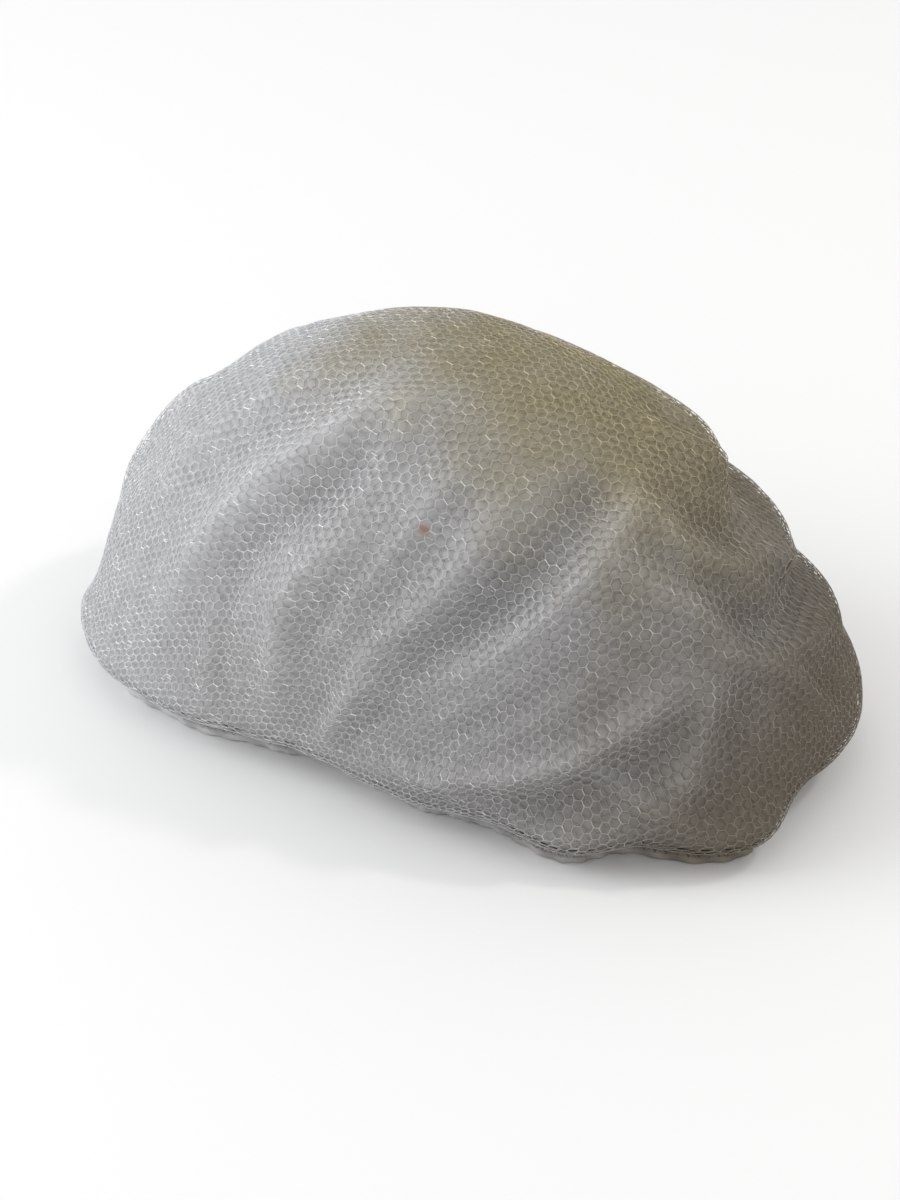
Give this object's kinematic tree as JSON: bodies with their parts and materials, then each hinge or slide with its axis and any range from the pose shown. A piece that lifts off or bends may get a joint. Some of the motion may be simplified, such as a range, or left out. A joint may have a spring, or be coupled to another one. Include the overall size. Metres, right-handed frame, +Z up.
{
  "type": "disposable hairnet",
  "caption": "White honeycomb-mesh hairnet, puffed up and resting mouth down on its gathered elastic hem.",
  "frame": {"origin": "on the surface the hairnet rests on, under the middle of its puff", "axes": "+Z up, +X along the long way of the puff, -Y towards its front"},
  "size_m": [0.283, 0.1747, 0.146],
  "materials": {
    "nylon_net": "fine glossy knitted nylon thread in an open honeycomb mesh",
    "hem_fabric": "the same mesh folded double and overlocked, matt",
    "elastic": "white covered elastic, matt, fine ribs"
  },
  "bodies": {
    "root": {"crown_net": "nylon_net", "gathered_hem": "hem_fabric", "elastic_band": "elastic"}
  },
  "joints": []
}
